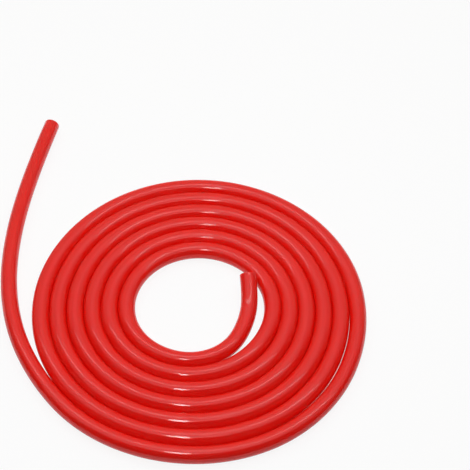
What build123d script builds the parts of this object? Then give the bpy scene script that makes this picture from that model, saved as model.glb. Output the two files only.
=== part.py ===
"""Soft rubber vacuum tubing, three metres of it, wound in a flat coil of one layer.

The tube is one extruded piece with a round outside and a round bore of half that
diameter. It lies on the bench with its turns side by side. The outer end leaves the coil
in a wide curve. The inner end crosses the middle, and its tip rests on the shoulder of
the turn beside it. Millimetres, +Z up, with the bench at Z = 0.
"""

from build123d import *
from math import cos, degrees, pi, radians, sin, sqrt, tan
import os

# The tube itself
OUTER_DIAMETER = 10.0
BORE_DIAMETER = 5.0

# The coil, wound clockwise from the inside out, seen from above. Angles in it are
# clockwise from +X. Each half turn is one arc, and the next is half a pitch larger.
TURN_GAP = 0.2  # between neighbouring turns
FIRST_RADIUS = 38.2  # centre line of the innermost half turn
HALF_TURNS = 11  # whole half turns, between the first arc and the last one
FIRST_ANGLE = 93.0  # where the first arc starts
LAST_ANGLE = 140.0  # where the last arc ends and the outer end leaves the coil
LEAD_TIGHTER = 5.7  # the arc that leads the inner end into the coil is this much smaller
LEAD_ANGLE = 70.0

# Free ends, as control points of their centre lines: ahead and to the left of where the
# end leaves the coil, and share of the tip's lift. The last point of each is its tip.
OUTER_ROUTE = ((20, 0, 0), (60, -11, 0), (100, -36.5, 0), (143.5, -81.5, 0), (175.5, -125, 0))
INNER_ROUTE = ((10, 0, 0), (24, 3.5, 0.27), (36.6, 10.2, 1))
TIP_CLEARANCE = 0.45  # between the lifted inner tip and the turn that carries it

# Straight round length at each tip, where a fitting pushes in
OUTER_TIP_LENGTH = 25.0
INNER_TIP_LENGTH = 7.0

# Between the tips the outside has flats and the bore runs in short straight lengths
OUTER_FLAT_COUNT = 8
BORE_FLAT_COUNT = 6
BORE_STEP_ANGLE = 15.0

# How much of the shorter run beside it a bend of a free end may take
BEND_SHARE = 0.45

PITCH = OUTER_DIAMETER + TURN_GAP
LAST_RADIUS = FIRST_RADIUS + (HALF_TURNS + 1) * PITCH / 2
LEAD_RADIUS = FIRST_RADIUS - LEAD_TIGHTER


def coil_arcs() -> list[Edge]:
    """Centre line of the coil, from where the outer end leaves it inwards."""
    centre = Vector(-PITCH / 4, 0, OUTER_DIAMETER / 2)
    angle = radians(LAST_ANGLE)
    start = centre + Vector(cos(angle), -sin(angle)) * LAST_RADIUS
    heading = Vector(sin(angle), cos(angle))
    sizes = [(LAST_RADIUS, LAST_ANGLE)]
    sizes += [(LAST_RADIUS - k * PITCH / 2, 180) for k in range(1, HALF_TURNS + 1)]
    sizes += [(FIRST_RADIUS, 180 - FIRST_ANGLE), (LEAD_RADIUS, LEAD_ANGLE)]
    arcs = []
    for radius, size in sizes:
        arcs.append(JernArc(start, heading, radius, size))
        start = arcs[-1] @ 1
        heading = arcs[-1] % 1
    return arcs


def inner_lift(lead: Edge) -> float:
    """Height of the inner tip above lying flat, on the shoulder of the turn beside it."""
    ahead, left, _ = INNER_ROUTE[-1]
    frame = Plane(origin=lead @ 1, x_dir=lead % 1, z_dir=(0, 0, 1))
    turn_centre = Vector(PITCH / 4, 0, OUTER_DIAMETER / 2)
    from_centre = (frame.from_local_coords(Vector(ahead, left)) - turn_centre).length
    apart = FIRST_RADIUS + PITCH / 2 - from_centre
    touching = OUTER_DIAMETER + TIP_CLEARANCE
    return sqrt(max(touching**2 - apart**2, 0))


def free_end(start: tuple, route: tuple, tip_length: float, lift: float) -> tuple:
    """Control points and bend radii of a free end, and the plane where its round tip starts."""
    leaves, heading = start
    frame = Plane(origin=leaves, x_dir=heading, z_dir=(0, 0, 1))
    points = [leaves]
    points += [frame.from_local_coords(Vector(x, y, share * lift)) for x, y, share in route]
    runs = [b - a for a, b in zip(points, points[1:])]
    radii = []
    for before, after in zip(runs, runs[1:]):
        half_turn = radians(before.get_angle(after)) / 2
        radii.append(BEND_SHARE * min(before.length, after.length) / tan(half_turn))
    print("bend radii of a free end:", [round(r, 1) for r in radii])
    ahead = runs[-1].normalized()
    points[-1] -= ahead * tip_length
    return points, radii, Plane(origin=points[-1], z_dir=ahead)


def regular_section(place: Plane, across_flats: float, sides: int) -> Sketch:
    """Regular polygon square to the centre line, with one flat facing down."""
    turned = 90 + 180 / sides
    outline = RegularPolygon(across_flats / 2, sides, major_radius=False, rotation=turned)
    return place * outline


def bore_points(path: Wire) -> list[Vector]:
    """Corners of the bore's straight lengths: the ends of each run and steps along each arc."""
    points = []
    done = 0.0
    for edge in path.order_edges():
        steps = 1
        if edge.geom_type == GeomType.CIRCLE:
            steps = max(1, round(degrees(edge.length / edge.radius) / BORE_STEP_ANGLE))
        for k in range(steps):
            at = done + edge.length * k / steps
            points.append(path.position_at(at, position_mode=PositionMode.LENGTH))
        done += edge.length
    return points + [path @ 1]


def round_tip(starts: Plane, length: float) -> Part:
    """Straight length of true tube, with the round bore that a fitting goes into."""
    return starts * extrude(Circle(OUTER_DIAMETER / 2) - Circle(BORE_DIAMETER / 2), length)


def tubing() -> Part:
    """The whole tube: flat-sided between its two round tips, and hollow from end to end."""
    arcs = coil_arcs()
    leaves = (arcs[0] @ 0, -(arcs[0] % 0))
    points, radii, outer_tip = free_end(leaves, OUTER_ROUTE, OUTER_TIP_LENGTH, 0)
    outer_end = FilletPolyline(*points[::-1], radius=radii[::-1])
    leaves = (arcs[-1] @ 1, arcs[-1] % 1)
    lift = inner_lift(arcs[-1])
    points, radii, inner_tip = free_end(leaves, INNER_ROUTE, INNER_TIP_LENGTH, lift)
    inner_end = FilletPolyline(*points, radius=radii)
    path = Wire([*outer_end.order_edges(), *arcs, *inner_end.order_edges()])
    start = Plane(origin=outer_tip.origin, x_dir=(0, 0, 1), z_dir=-outer_tip.z_dir)
    body = sweep(regular_section(start, OUTER_DIAMETER, OUTER_FLAT_COUNT), path=path)
    corners = bore_points(path)
    bore_section = regular_section(start, BORE_DIAMETER, BORE_FLAT_COUNT)
    body -= sweep(bore_section, path=Polyline(*corners), transition=Transition.RIGHT)
    tube = body + round_tip(outer_tip, OUTER_TIP_LENGTH) + round_tip(inner_tip, INNER_TIP_LENGTH)
    length = path.length + OUTER_TIP_LENGTH + INNER_TIP_LENGTH
    section = pi / 4 * (OUTER_DIAMETER**2 - BORE_DIAMETER**2)
    print(f"length {length:.0f} mm, round section times length {section * length:.0f} mm3")
    print(f"volume {tube.volume:.0f} mm3, solids {len(tube.solids())}, valid {tube.is_valid}")
    print(f"inner tip lifted by {lift:.3f} mm; tips and their directions:")
    for tip, reach in ((outer_tip, OUTER_TIP_LENGTH), (inner_tip, INNER_TIP_LENGTH)):
        print("  ", tip.origin + tip.z_dir * reach, tip.z_dir)
    return tube


def centred_on_bench(part: Part) -> Part:
    """Moved level, so that the origin is under the middle of the part's outline."""
    middle = part.bounding_box().center()
    print(f"coil's centre at X {-middle.X:.3f}, Y {-middle.Y:.3f}")
    return Pos(-middle.X, -middle.Y, 0) * part


os.makedirs("parts", exist_ok=True)
export_step(centred_on_bench(tubing()), "parts/tubing.step")
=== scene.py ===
"""Dresses and lights a coil of soft red rubber vacuum tubing, in the frame of its CAD model.

One length of tube lies on a pale bench, wound in a flat coil of one layer. Its outer end
leaves the coil in a wide curve, and its inner end crosses the middle and rests on the
shoulder of the turn beside it. Metres, +Z up, with the bench at Z = 0.
"""

import logging
from dataclasses import dataclass, field
from enum import Enum
from math import cos, pi, radians, sin

import bpy
import numpy as np
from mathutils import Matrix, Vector


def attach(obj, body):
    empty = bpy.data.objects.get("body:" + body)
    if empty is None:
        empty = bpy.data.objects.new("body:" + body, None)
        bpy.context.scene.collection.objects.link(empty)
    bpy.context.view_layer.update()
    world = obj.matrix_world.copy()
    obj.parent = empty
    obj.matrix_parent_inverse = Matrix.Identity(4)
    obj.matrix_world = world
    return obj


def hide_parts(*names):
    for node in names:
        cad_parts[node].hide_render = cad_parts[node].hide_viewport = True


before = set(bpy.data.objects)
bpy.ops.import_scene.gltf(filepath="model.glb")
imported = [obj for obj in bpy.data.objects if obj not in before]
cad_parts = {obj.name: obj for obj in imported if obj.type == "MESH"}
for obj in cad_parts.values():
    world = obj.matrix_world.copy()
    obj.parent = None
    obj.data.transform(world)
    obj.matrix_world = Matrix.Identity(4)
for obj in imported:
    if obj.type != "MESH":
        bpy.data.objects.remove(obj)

Pair = tuple[float, float]
Triple = tuple[float, float, float]
Colour = tuple[float, float, float, float]

LOG = logging.getLogger("tubing")
IMAGE_SIDE = 470.0
COIL_CENTRE = (0.008462, -0.023839)
STRAIGHT_TUBE = "straight_tube"  # attribute of the tube: each point's place on it, laid straight


class Finish(Enum):
    """Names of the finishes, as they stand in the scene."""

    RUBBER = "red_rubber"
    CUT = "cut_rubber"
    BENCH = "pale_bench"
    CLOTH = "lit_cloth"


def add_math(
    tree: bpy.types.NodeTree, operation: str, *terms: bpy.types.NodeSocket | float
) -> bpy.types.NodeSocket:
    """Adds a Math node.

    Args:
        tree: Node tree of a material or of the surroundings.
        operation: What it works out, in Blender's own word.
        terms: Its inputs in order, each one an output of another node or a number.

    Returns:
        The result.
    """
    node = tree.nodes.new("ShaderNodeMath")
    node.operation = operation
    for term, socket in zip(terms, node.inputs):
        if isinstance(term, bpy.types.NodeSocket):
            tree.links.new(term, socket)
        else:
            socket.default_value = term
    return node.outputs[0]


def smooth_step(
    tree: bpy.types.NodeTree, value: bpy.types.NodeSocket, ends: Pair, results: Pair = (0.0, 1.0)
) -> bpy.types.NodeSocket:
    """Adds a smooth step between two results, as a value goes from one end to the other.

    Args:
        tree: Node tree of a material or of the surroundings.
        value: Output to step.
        ends: Values where the step starts and ends.
        results: What it gives at those two ends, and beyond them.

    Returns:
        The stepped output.
    """
    step = tree.nodes.new("ShaderNodeMapRange")
    step.interpolation_type = "SMOOTHSTEP"
    tree.links.new(value, step.inputs["Value"])
    step.inputs["From Min"].default_value, step.inputs["From Max"].default_value = ends
    step.inputs["To Min"].default_value, step.inputs["To Max"].default_value = results
    return step.outputs["Result"]


def mix_shaders(
    tree: bpy.types.NodeTree,
    share: bpy.types.NodeSocket,
    first: bpy.types.NodeSocket,
    second: bpy.types.NodeSocket,
) -> bpy.types.NodeSocket:
    """Adds a mix of two shaders.

    Args:
        tree: Node tree of a material or of the surroundings.
        share: Share of the second shader, from nought to one.
        first: Output of the first shader.
        second: Output of the second shader.

    Returns:
        The mixed shader.
    """
    mixer = tree.nodes.new("ShaderNodeMixShader")
    for source, socket in zip((share, first, second), mixer.inputs):
        tree.links.new(source, socket)
    return mixer.outputs[0]


def flat_face(name: str, corners: list[Triple], material: bpy.types.Material) -> bpy.types.Object:
    """Makes an object of one flat face and puts it in the scene.

    Args:
        name: Name of the object and its mesh.
        corners: Corners of the face, in order round it.
        material: Its finish.

    Returns:
        The object.
    """
    mesh = bpy.data.meshes.new(name)
    mesh.from_pydata(corners, [], [tuple(range(len(corners)))])
    mesh.materials.append(material)
    made = bpy.data.objects.new(name, mesh)
    bpy.context.scene.collection.objects.link(made)
    return made


@dataclass(frozen=True)
class Streaks:
    """Noise stretched by its scales, which are per metre, across and along.

    It lies on the straightened tube, or in the piece's own space.
    """

    across: float
    along: float
    detail: float = 2.0
    on_tube: bool = True

    def output(self, tree: bpy.types.NodeTree) -> bpy.types.NodeSocket:
        """Adds the noise to a material.

        The pattern's place is the point times the scale across, and the scale along for the
        third coordinate, which on the straightened tube is the distance from the outer tip.

        Args:
            tree: Node tree of the material.

        Returns:
            The noise, about a half on average.
        """
        if self.on_tube:
            place = tree.nodes.new("ShaderNodeAttribute")
            place.attribute_name = STRAIGHT_TUBE
            start = place.outputs["Vector"]
        else:
            start = tree.nodes.new("ShaderNodeTexCoord").outputs["Object"]
        scaled = tree.nodes.new("ShaderNodeMapping")
        scaled.inputs["Scale"].default_value = (self.across, self.across, self.along)
        noise = tree.nodes.new("ShaderNodeTexNoise")
        noise.inputs["Scale"].default_value = 1.0
        noise.inputs["Detail"].default_value = self.detail
        tree.links.new(start, scaled.inputs["Vector"])
        tree.links.new(scaled.outputs["Vector"], noise.inputs["Vector"])
        return noise.outputs["Fac"]

    def bump(self, tree: bpy.types.NodeTree, height: float) -> bpy.types.Node:
        """Adds a bump that raises the surface by the noise.

        Args:
            tree: Node tree of the material.
            height: Highest rise, in metres.

        Returns:
            The bump node, for the next one or the shader.
        """
        bump = tree.nodes.new("ShaderNodeBump")
        bump.inputs["Distance"].default_value = height
        tree.links.new(self.output(tree), bump.inputs["Height"])
        return bump


@dataclass(frozen=True)
class RubberFinish:
    """Smooth extruded red rubber: glossy, slightly clear, with faint lines from the die."""

    name: Finish = Finish.RUBBER
    deep: Colour = (0.84, 0.0120, 0.0070, 1.0)
    pale: Colour = (0.89, 0.0150, 0.0092, 1.0)
    gloss: Pair = (0.03, 0.09)
    refraction: float = 1.46
    scatter: float = 1.0
    scatter_depth: float = 0.003
    scatter_colours: Triple = (1.0, 0.06, 0.04)
    noise_ends: Pair = (0.28, 0.72)
    shades: Streaks = Streaks(420.0, 9.0, 3.0)
    haze: Streaks = Streaks(55.0, 55.0, 3.0, on_tube=False)
    lines: Streaks = Streaks(3800.0, 30.0, 3.0)
    lines_height: float = 0.000004
    grain: Streaks = Streaks(750.0, 750.0)
    grain_height: float = 0.000006

    def material(self) -> bpy.types.Material:
        """Node material of the finish.

        The colour goes from deep to pale with long soft streaks, the roughness changes with
        a broad haze, and the bump is the die's lines on top of a fine grain.

        Returns:
            The material, ready to go in a slot.
        """
        made = bpy.data.materials.new(self.name.value)
        made.use_nodes = True
        tree = made.node_tree
        shader = tree.nodes["Principled BSDF"]
        colour = tree.nodes.new("ShaderNodeMix")
        colour.data_type = "RGBA"
        colour.inputs["A"].default_value = self.deep
        colour.inputs["B"].default_value = self.pale
        shade = smooth_step(tree, self.shades.output(tree), self.noise_ends)
        roughness = smooth_step(tree, self.haze.output(tree), self.noise_ends, self.gloss)
        grain = self.grain.bump(tree, self.grain_height)
        lines = self.lines.bump(tree, self.lines_height)
        tree.links.new(shade, colour.inputs["Factor"])
        tree.links.new(colour.outputs["Result"], shader.inputs["Base Color"])
        tree.links.new(roughness, shader.inputs["Roughness"])
        tree.links.new(grain.outputs["Normal"], lines.inputs["Normal"])
        tree.links.new(lines.outputs["Normal"], shader.inputs["Normal"])
        shader.inputs["IOR"].default_value = self.refraction
        shader.inputs["Subsurface Weight"].default_value = self.scatter
        shader.inputs["Subsurface Scale"].default_value = self.scatter_depth
        shader.inputs["Subsurface Radius"].default_value = self.scatter_colours
        return made


@dataclass(frozen=True)
class CutFinish(RubberFinish):
    """The rubber on a cut face: paler and dull, with marks that the blade left across it."""

    name: Finish = Finish.CUT
    deep: Colour = (0.66, 0.020, 0.022, 1.0)
    pale: Colour = (0.76, 0.042, 0.045, 1.0)
    gloss: Pair = (0.48, 0.66)
    shades: Streaks = Streaks(900.0, 900.0, 3.0)
    haze: Streaks = Streaks(400.0, 400.0)
    lines: Streaks = Streaks(2500.0, 2500.0, 3.0)
    lines_height: float = 0.00002
    grain: Streaks = Streaks(6000.0, 6000.0)
    grain_height: float = 0.000012


@dataclass(frozen=True)
class LooseStretch:
    """Stretch of a turn that stands off the turn inside it.

    Its middle and half length are degrees unwound from where the outer end leaves, counted
    inwards, and its most is how far its middle is moved outwards.
    """

    middle: float
    half: float
    most: float

    def moves(self, unwound: np.ndarray) -> np.ndarray:
        """How far it moves points: its most, times half of one plus the cosine across it.

        Args:
            unwound: Places of the points, in degrees unwound.

        Returns:
            One move for each point, nought past the stretch's ends.
        """
        share = np.clip((unwound - self.middle) / self.half, -1.0, 1.0)
        return self.most * (1 + np.cos(pi * share)) / 2


@dataclass
class TubeRoute:
    """Centre line of the tubing, as the control points of one smooth spline.

    Angles are in degrees, clockwise from +X seen from above. A point of a free end says how
    far ahead, to the left and up it stands from where the end leaves the coil.
    """

    outer_diameter: float = 0.010
    turn_gap: float = 0.0002
    first_radius: float = 0.0382
    half_turns: int = 11
    first_angle: float = 93.0
    last_angle: float = 140.0
    lead_tighter: float = 0.0057
    lead_angle: float = 70.0
    coil_centre: Pair = COIL_CENTRE
    steps_per_turn: int = 16
    fewest_steps: int = 3
    points_per_run: int = 12
    standing_off: tuple[LooseStretch, ...] = (
        LooseStretch(86.0, 54.0, 0.0023),
        LooseStretch(245.0, 55.0, 0.0005),
        LooseStretch(446.0, 52.0, 0.0018),
        LooseStretch(808.0, 54.0, 0.0013),
        LooseStretch(1170.0, 52.0, 0.0009),
        LooseStretch(1532.0, 50.0, 0.0005),
        LooseStretch(860.0, 60.0, 0.0002),
        LooseStretch(1220.0, 60.0, 0.0003),
        LooseStretch(1580.0, 60.0, 0.0005),
        LooseStretch(1946.0, 50.0, 0.0009),
    )
    outer_end: tuple[Triple, ...] = (
        (0.020, 0.0, 0.0),
        (0.060, -0.011, 0.0),
        (0.100, -0.0365, 0.0),
        (0.1435, -0.0815, 0.0),
        (0.1755, -0.125, 0.0),
    )
    inner_end: tuple[Triple, ...] = (
        (0.010, 0.0, 0.0),
        (0.024, 0.0035, 0.00178),
        (0.0366, 0.0102, 0.006585),
    )
    pitch: float = field(init=False)
    height: float = field(init=False)
    last_radius: float = field(init=False)
    lead_radius: float = field(init=False)

    def __post_init__(self) -> None:
        """Works out the spiral's sizes from the driving ones."""
        self.pitch = self.outer_diameter + self.turn_gap
        self.height = self.outer_diameter / 2
        self.last_radius = self.first_radius + (self.half_turns + 1) * self.pitch / 2
        self.lead_radius = self.first_radius - self.lead_tighter

    @staticmethod
    def outward(angle: float | np.ndarray) -> np.ndarray:
        """Level unit vector at an angle of the coil.

        Args:
            angle: One angle or an array of them, in degrees.

        Returns:
            The vector, or one row for each angle.
        """
        turned = np.radians(angle)
        return np.stack([np.cos(turned), -np.sin(turned), np.zeros_like(turned)], axis=-1)

    def arc_points(self, centre: np.ndarray, radius: float, start: float, sweep: float) -> np.ndarray:
        """Control points of one arc, traversed towards smaller angles.

        The arc is cut in equal steps. A point stands over the middle of each step, at the
        radius divided by the cosine of half a step, so the spline touches the arc at the
        ends of every step.

        Args:
            centre: Centre of the arc, at the height of the centre line.
            radius: Radius of the arc.
            start: Angle where the arc starts, in degrees.
            sweep: How far it runs, in degrees.

        Returns:
            One row for each control point.
        """
        steps = max(self.fewest_steps, round(sweep * self.steps_per_turn / 360))
        step = sweep / steps
        angles = start - (np.arange(steps) + 0.5) * step
        return centre + self.outward(angles) * radius / cos(radians(step / 2))

    def coil(self) -> tuple[np.ndarray, np.ndarray, np.ndarray]:
        """Control points of the whole coil, from the outside inwards.

        Each half turn is an arc half a pitch smaller than the last, on a centre that steps
        from side to side by half a pitch, so the turns run into each other smoothly.

        Returns:
            The points, the coil's middle and the centre of the last, tighter arc.
        """
        middle = np.array([*self.coil_centre, self.height])
        shift = np.array([self.pitch / 4, 0.0, 0.0])
        rows = [self.arc_points(middle - shift, self.last_radius, self.last_angle, self.last_angle)]
        for half in range(1, self.half_turns + 1):
            far = half % 2 == 1
            centre = middle + shift if far else middle - shift
            radius = self.last_radius - half * self.pitch / 2
            rows.append(self.arc_points(centre, radius, 360.0 if far else 180.0, 180.0))
        centre = middle - shift
        rows.append(self.arc_points(centre, self.first_radius, 180.0, 180.0 - self.first_angle))
        lead_centre = centre + self.outward(self.first_angle) * self.lead_tighter
        rows.append(self.arc_points(lead_centre, self.lead_radius, self.first_angle, self.lead_angle))
        return self.loosened(np.vstack(rows), middle), middle, lead_centre

    def loosened(self, points: np.ndarray, middle: np.ndarray) -> np.ndarray:
        """Points of the coil, moved outwards where a loose turn stands off the next one.

        Args:
            points: Control points of the coil.
            middle: The coil's middle.

        Returns:
            The moved points.
        """
        spokes = points - middle
        unwound = np.degrees(np.unwrap(np.arctan2(spokes[:, 1], spokes[:, 0])))
        unwound += self.last_angle - 360.0 * np.round((unwound[0] + self.last_angle) / 360.0)
        moved = sum(loose.moves(unwound) for loose in self.standing_off)
        return points + spokes / np.linalg.norm(spokes, axis=1)[:, None] * moved[:, None]

    @staticmethod
    def free_end(leaves: np.ndarray, heading: np.ndarray, steps: tuple[Triple, ...]) -> np.ndarray:
        """Control points of a free end, from where it leaves the coil to its tip.

        Args:
            leaves: Point where the end leaves the coil.
            heading: Level unit vector that it leaves along.
            steps: How far ahead, to the left and up each point stands.

        Returns:
            One row for each control point.
        """
        left = np.array([-heading[1], heading[0], 0.0])
        up = np.array([0.0, 0.0, 1.0])
        return leaves + np.array(steps) @ np.vstack([heading, left, up])

    def control_points(self) -> np.ndarray:
        """Control points of the whole tube, from the outer tip to the inner one.

        Returns:
            One row for each control point.
        """
        coil, middle, lead_centre = self.coil()
        outer_centre = middle - np.array([self.pitch / 4, 0.0, 0.0])
        leaves = outer_centre + self.outward(self.last_angle) * self.last_radius
        heading = self.outward(self.last_angle + 90.0)
        outer = self.free_end(leaves, heading, self.outer_end)
        last = self.first_angle - self.lead_angle
        leaves = lead_centre + self.outward(last) * self.lead_radius
        inner = self.free_end(leaves, self.outward(last - 90.0), self.inner_end)
        return np.vstack([outer[::-1], coil, inner])

    def centre_line(self) -> np.ndarray:
        """Points along the spline of the control points, read from Blender's own curve.

        Returns:
            One row for each point, from the outer tip to the inner one.
        """
        points = self.control_points()
        curve = bpy.data.curves.new("tube_route", "CURVE")
        curve.dimensions = "3D"
        line = curve.splines.new("NURBS")
        line.points.add(len(points) - 1)
        line.points.foreach_set("co", np.column_stack([points, np.ones(len(points))]).ravel())
        line.order_u = 3
        line.use_endpoint_u = True
        line.resolution_u = self.points_per_run
        holder = bpy.data.objects.new("tube_route", curve)
        mesh = bpy.data.meshes.new_from_object(holder)
        read = np.empty(len(mesh.vertices) * 3)
        mesh.vertices.foreach_get("co", read)
        bpy.data.meshes.remove(mesh)
        bpy.data.objects.remove(holder)
        bpy.data.curves.remove(curve)
        return read.reshape(-1, 3)


@dataclass
class Tubing:
    """The tube itself: a round wall round a round bore, cut square at both tips."""

    route: TubeRoute = field(default_factory=TubeRoute)
    finish: RubberFinish = RubberFinish()
    cut_finish: CutFinish = CutFinish()
    bore_diameter: float = 0.005
    rim_radius: float = 0.00022
    settled: float = 0.00026
    settled_ends: Pair = (0.46, 0.07)
    settled_fade: float = 0.03
    clear_of_tip: float = 0.001
    around: int = 44
    rim_steps: int = 3
    bore_stride: int = 3
    real_length: float = 2.98
    name: str = "rubber_tube"
    node: str = "tubing"
    slot: str = "rubber"

    def end_profile(self) -> tuple[np.ndarray, np.ndarray]:
        """Section of a cut end, from the wall of the bore to the outside of the tube.

        Both rims are quarter circles: the inset is the rim's radius times one less the sine,
        and the distance from the wall is the rim's radius times one less the cosine.

        Returns:
            How far in from the cut each point lies, and its distance from the centre line.
        """
        turned = np.linspace(0.0, pi / 2, self.rim_steps + 1)
        inset = self.rim_radius * (1 - np.sin(turned))
        off_wall = self.rim_radius * (1 - np.cos(turned))
        outer = self.route.outer_diameter / 2
        bore = self.bore_diameter / 2
        face = np.array([bore + 2 * self.rim_radius, (bore + outer) / 2, outer - 2 * self.rim_radius])
        insets = np.concatenate([inset, np.zeros(len(face)), inset[::-1]])
        sizes = np.concatenate([bore + off_wall, face, (outer - off_wall)[::-1]])
        return insets, sizes

    def settling(self, along: np.ndarray) -> np.ndarray:
        """How much wider the soft tube is to each side in the coil, where its turns press together.

        It is nought on the free ends, and goes up to its most in the coil by a smooth step:
        three times the square less twice the cube of the share of the fade that is passed.
        The turns are only widened by it, so neighbours overlap slightly down in the grooves.

        Args:
            along: Distances from the outer tip.

        Returns:
            One width for each distance.
        """
        outer, inner = self.settled_ends
        passed = np.minimum(along - outer, along[-1] - inner - along) / self.settled_fade
        share = np.clip(passed, 0.0, 1.0)
        return self.settled * share**2 * (3 - 2 * share)

    @staticmethod
    def directions(path: np.ndarray) -> tuple[np.ndarray, np.ndarray]:
        """Distances and directions along the path.

        A direction is the path's slope at a point, and at each tip it is that of the step there.

        Args:
            path: Points of the centre line.

        Returns:
            Each point's distance from the outer tip, and the unit vector ahead of it.
        """
        steps = np.diff(path, axis=0)
        along = np.concatenate([[0.0], np.cumsum(np.linalg.norm(steps, axis=1))])
        ahead = np.gradient(path, along, axis=0)
        ahead[0] = steps[0]
        ahead[-1] = steps[-1]
        return along, ahead / np.linalg.norm(ahead, axis=1)[:, None]

    def rows(self, along: np.ndarray) -> tuple[np.ndarray, ...]:
        """Rows round the tube, in order: one cut end, the outside, the other cut end and the bore.

        Args:
            along: Distances of the path's points from the outer tip.

        Returns:
            For each row, the point of the path that it belongs to, how far ahead of that
            point it stands, half its height, half its width, and if it is on a cut face, which
            is where it belongs to a tip and doesn't stand ahead of it or behind it.
        """
        insets, sizes = self.end_profile()
        outside = np.flatnonzero((along > self.clear_of_tip) & (along < along[-1] - self.clear_of_tip))
        bore = outside[:: -self.bore_stride]
        tip = len(along) - 1
        outer_size = np.full(len(outside), self.route.outer_diameter / 2)
        outer_width = outer_size + self.settling(along)[outside]
        bore_size = np.full(len(bore), self.bore_diameter / 2)
        point = np.concatenate([np.zeros(len(insets), int), outside, np.full(len(insets), tip), bore])
        shift = np.concatenate([insets, np.zeros(len(outside)), -insets[::-1], np.zeros(len(bore))])
        height = np.concatenate([sizes, outer_size, sizes[::-1], bore_size])
        width = np.concatenate([sizes, outer_width, sizes[::-1], bore_size])
        on_cut = (shift == 0) & ((point == 0) | (point == tip))
        return point, shift, height, width, on_cut

    def mesh(self, path: np.ndarray) -> bpy.types.Mesh:
        """Closed surface of the tube: its outside, both cut ends and its bore.

        Every row is an ellipse round the path. A point of it is the row's centre, plus half
        its width times the cosine of an angle to the side and half its height times the sine
        of it upwards, in the plane square to the path.

        Args:
            path: Points of the centre line.

        Returns:
            The mesh, with the place of each point on the straightened tube as an attribute.
        """
        along, directions = self.directions(path)
        point, shift, height, width, on_cut = self.rows(along)
        ahead = directions[point]
        side = np.cross(ahead, [0.0, 0.0, 1.0])
        side /= np.linalg.norm(side, axis=1)[:, None]
        up = np.cross(side, ahead)
        centres = path[point] + ahead * shift[:, None]
        turned = np.arange(self.around) * 2 * pi / self.around
        level = np.cos(turned)[None, :] * width[:, None]
        rise = np.sin(turned)[None, :] * height[:, None]
        points = centres[:, None, :] + level[..., None] * side[:, None, :] + rise[..., None] * up[:, None, :]
        place = np.broadcast_to((along[point] + shift)[:, None], level.shape)
        return self.fill_mesh(points, np.stack([level, rise, place], axis=-1), on_cut)

    def fill_mesh(self, points: np.ndarray, straight: np.ndarray, on_cut: np.ndarray) -> bpy.types.Mesh:
        """Blender mesh of rows of points that close on themselves both ways.

        A face is part of a cut face where the rows on both its sides are.

        Args:
            points: Places, as rows of circles.
            straight: The same points on the straightened tube.
            on_cut: If each row is on a cut face.

        Returns:
            The mesh, smooth, with its cut faces in the second slot.
        """
        rows, columns = points.shape[:2]
        first = np.arange(rows)[:, None] * columns
        next_row = (np.arange(rows)[:, None] + 1) % rows * columns
        column = np.arange(columns)[None, :]
        next_column = (column + 1) % columns
        quads = np.stack(
            [first + column, first + next_column, next_row + next_column, next_row + column], axis=-1
        ).reshape(-1, 4)
        made = bpy.data.meshes.new(self.name)
        made.from_pydata(points.reshape(-1, 3), [], quads)
        cut = np.repeat(on_cut & np.roll(on_cut, -1), columns)
        made.polygons.foreach_set("material_index", cut.astype(np.int32))
        made.polygons.foreach_set("use_smooth", np.ones(len(quads), bool))
        attribute = made.attributes.new(STRAIGHT_TUBE, "FLOAT_VECTOR", "POINT")
        attribute.data.foreach_set("vector", straight.reshape(-1))
        made.update()
        return made

    def build(self) -> bpy.types.Object:
        """Returns:
            The finished piece.
        """
        path = self.route.centre_line()
        piece = bpy.data.objects.new(self.name, self.mesh(path))
        bpy.context.scene.collection.objects.link(piece)
        for finish in (self.finish, self.cut_finish):
            piece.data.materials.append(finish.material())
        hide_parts(self.node)
        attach(piece, "root")
        LOG.info("%s: %d points along, %d faces", piece.name, len(path), len(piece.data.polygons))
        return piece


@dataclass
class Bench:
    """Level pale bench that the tube lies on, near white to the camera and in reflections."""

    side: float = 6.0
    colour: Colour = (0.93, 0.93, 0.93, 1.0)
    roughness: float = 0.9
    shine: float = 0.1
    glow: float = 0.88

    def material(self) -> bpy.types.Material:
        """Dull pale finish, mostly replaced by an even white where the camera or gloss sees it.

        What is left of the dull finish there shows the tube's shadow.

        Returns:
            The material.
        """
        made = bpy.data.materials.new(Finish.BENCH.value)
        made.use_nodes = True
        tree = made.node_tree
        shader = tree.nodes["Principled BSDF"]
        shader.inputs["Base Color"].default_value = self.colour
        shader.inputs["Roughness"].default_value = self.roughness
        shader.inputs["Specular IOR Level"].default_value = self.shine
        white = tree.nodes.new("ShaderNodeEmission")
        rays = tree.nodes.new("ShaderNodeLightPath").outputs
        seen = add_math(tree, "MAXIMUM", rays["Is Camera Ray"], rays["Is Glossy Ray"])
        share = add_math(tree, "MULTIPLY", seen, self.glow)
        mixed = mix_shaders(tree, share, shader.outputs[0], white.outputs[0])
        tree.links.new(mixed, tree.nodes["Material Output"].inputs[0])
        return made

    def build(self) -> bpy.types.Object:
        """Makes the bench.

        Returns:
            The bench.
        """
        half = self.side / 2
        corners = [(-half, -half, 0.0), (half, -half, 0.0), (half, half, 0.0), (-half, half, 0.0)]
        made = flat_face("bench", corners, self.material())
        return made


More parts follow.
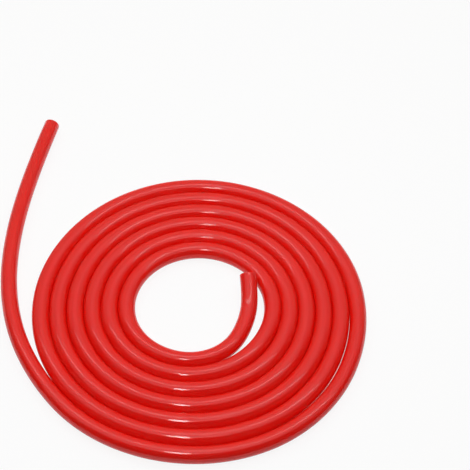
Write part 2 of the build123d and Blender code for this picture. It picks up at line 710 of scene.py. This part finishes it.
@dataclass
class Room:
    """Pale surroundings: white to the camera, and to the tube a room that is lit from the far side."""

    far: Pair = (0.05, 0.60)
    up: Pair = (-0.35, 0.60)
    tint: Colour = (1.0, 0.98, 0.87, 1.0)
    level: float = 0.52
    base: float = 0.08
    to_camera: Colour = (1.0, 1.0, 1.0, 1.0)

    def build(self) -> bpy.types.World:
        """Sets up the surroundings.

        The level is a dim base plus the room's own, times a smooth step in how far the ray
        points to the far side, times a smooth step in how far it points up.

        Returns:
            The surroundings.
        """
        made = bpy.data.worlds.new("surroundings")
        made.use_nodes = True
        bpy.context.scene.world = made
        tree = made.node_tree
        room = tree.nodes["Background"]
        room.inputs["Color"].default_value = self.tint
        white = tree.nodes.new("ShaderNodeBackground")
        white.inputs["Color"].default_value = self.to_camera
        ray = tree.nodes.new("ShaderNodeTexCoord").outputs["Generated"]
        parts = tree.nodes.new("ShaderNodeSeparateXYZ")
        tree.links.new(ray, parts.inputs[0])
        far = smooth_step(tree, parts.outputs["Y"], self.far)
        up = smooth_step(tree, parts.outputs["Z"], self.up)
        lit = add_math(tree, "MULTIPLY", far, up)
        strength = add_math(tree, "MULTIPLY_ADD", lit, self.level, self.base)
        tree.links.new(strength, room.inputs["Strength"])
        seen = tree.nodes.new("ShaderNodeLightPath").outputs["Is Camera Ray"]
        mixed = mix_shaders(tree, seen, room.outputs[0], white.outputs[0])
        tree.links.new(mixed, tree.nodes["World Output"].inputs[0])
        return made


@dataclass(frozen=True)
class BrightPatch:
    """Soft bright patch of the lit cloth, an ellipse.

    It has a centre, half widths, a turn in degrees, a core as a share of the half widths,
    and the level that it adds at its core.
    """

    across: float
    back: float
    half_across: float
    half_back: float
    turned: float
    core: float
    most: float

    def bell(
        self, tree: bpy.types.NodeTree, place: bpy.types.NodeSocket, height: float
    ) -> bpy.types.NodeSocket:
        """Adds the patch's bell: a smooth step down from one at its core to nought at its edge.

        The step is in the distance from the centre, measured in the patch's own half widths.

        Args:
            tree: Node tree of the cloth's material.
            place: Place on the cloth.
            height: Height of the cloth.

        Returns:
            The bell.
        """
        patch = tree.nodes.new("ShaderNodeMapping")
        patch.vector_type = "TEXTURE"
        patch.inputs["Location"].default_value = (self.across, self.back, height)
        patch.inputs["Rotation"].default_value = (0.0, 0.0, radians(self.turned))
        patch.inputs["Scale"].default_value = (self.half_across, self.half_back, 1.0)
        length = tree.nodes.new("ShaderNodeVectorMath")
        length.operation = "LENGTH"
        tree.links.new(place, patch.inputs["Vector"])
        tree.links.new(patch.outputs[0], length.inputs[0])
        return smooth_step(tree, length.outputs["Value"], (1.0, self.core))


@dataclass
class LitCloth:
    """Lit cloth overhead: dim near the camera, and lit past its edge, with soft bright patches."""

    height: float = 0.55
    corners: tuple[Pair, Pair] = ((-0.75, -0.60), (0.85, 0.45))
    edge: Pair = (-0.32, -0.25)
    dim: float = 0.08
    rise: float = 0.48
    patches: tuple[BrightPatch, ...] = (
        BrightPatch(0.00, 0.04, 0.66, 0.60, -10.0, 0.30, 0.58),
        BrightPatch(0.00, 0.13, 0.80, 0.055, -14.0, 0.0, 4.20),
        BrightPatch(0.02, -0.22, 0.36, 0.04, 0.0, 0.0, 1.90),
    )

    def material(self) -> bpy.types.Material:
        """Glow of the cloth.

        The level is a dim one, plus the lit one times a smooth step across the edge. The lit
        level is an even one, plus the most of each patch times its bell.

        Returns:
            The material.
        """
        made = bpy.data.materials.new(Finish.CLOTH.value)
        made.use_nodes = True
        tree = made.node_tree
        tree.nodes.clear()
        place = tree.nodes.new("ShaderNodeTexCoord").outputs["Object"]
        parts = tree.nodes.new("ShaderNodeSeparateXYZ")
        tree.links.new(place, parts.inputs[0])
        level = self.rise
        for patch in self.patches:
            level = add_math(tree, "MULTIPLY_ADD", patch.bell(tree, place, self.height), patch.most, level)
        lit = smooth_step(tree, parts.outputs["Y"], self.edge)
        glow = tree.nodes.new("ShaderNodeEmission")
        output = tree.nodes.new("ShaderNodeOutputMaterial")
        tree.links.new(add_math(tree, "MULTIPLY_ADD", lit, level, self.dim), glow.inputs["Strength"])
        tree.links.new(glow.outputs[0], output.inputs[0])
        return made

    def build(self) -> bpy.types.Object:
        """Makes the cloth, which the camera doesn't see.

        Returns:
            The cloth.
        """
        (left, near), (right, far) = self.corners
        high = self.height
        corners = [(left, near, high), (left, far, high), (right, far, high), (right, near, high)]
        made = flat_face("lit_cloth", corners, self.material())
        made.visible_camera = False
        return made


@dataclass
class StripLamp:
    """Narrow lamp overhead that puts a small glint on every turn."""

    place: Triple = (-0.044, -0.26, 0.545)
    size: Pair = (0.08, 0.19)
    power: float = 0.53

    def build(self) -> bpy.types.Object:
        """Makes the lamp, which the camera doesn't see.

        Returns:
            The lamp.
        """
        data = bpy.data.lights.new("strip_lamp", "AREA")
        data.shape = "ELLIPSE"
        data.size, data.size_y = self.size
        data.energy = self.power
        made = bpy.data.objects.new("strip_lamp", data)
        made.location = self.place
        made.visible_camera = False
        bpy.context.scene.collection.objects.link(made)
        return made


@dataclass
class PhotoCamera:
    """Camera at the photograph's angle, with the photograph's framing."""

    aim: Triple = (*COIL_CENTRE, 0.0)
    elevation: float = 54.336
    distance: float = 0.709174
    focal_pixels: float = 1181.883
    axis_pixel: Pair = (194.743, 311.816)
    sensor: float = 36.0
    nearest: float = 0.01

    def build(self) -> bpy.types.Object:
        """Makes the camera, shifted so that its axis meets the picture at `axis_pixel`.

        Returns:
            The camera.
        """
        data = bpy.data.cameras.new("camera")
        data.sensor_width = self.sensor
        data.lens = self.sensor * self.focal_pixels / IMAGE_SIDE
        middle = IMAGE_SIDE / 2
        data.shift_x = (middle - self.axis_pixel[0]) / IMAGE_SIDE
        data.shift_y = (self.axis_pixel[1] - middle) / IMAGE_SIDE
        data.clip_start = self.nearest
        made = bpy.data.objects.new("camera", data)
        tilt = radians(self.elevation)
        back = Vector((0.0, -cos(tilt), sin(tilt)))
        made.location = Vector(self.aim) + back * self.distance
        made.rotation_euler = (radians(90.0 - self.elevation), 0.0, 0.0)
        bpy.context.scene.collection.objects.link(made)
        bpy.context.scene.camera = made
        return made


def main() -> None:
    """Builds the tube and the studio round it, in that order."""
    logging.basicConfig(level=logging.INFO, format="%(name)s: %(message)s")
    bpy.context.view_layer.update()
    Tubing().build()
    for part in (Bench(), Room(), LitCloth(), StripLamp(), PhotoCamera()):
        made = part.build()
        LOG.info("studio: %s", made.name)
    bpy.context.scene.view_settings.view_transform = "Standard"


if __name__ == "__main__":
    main()
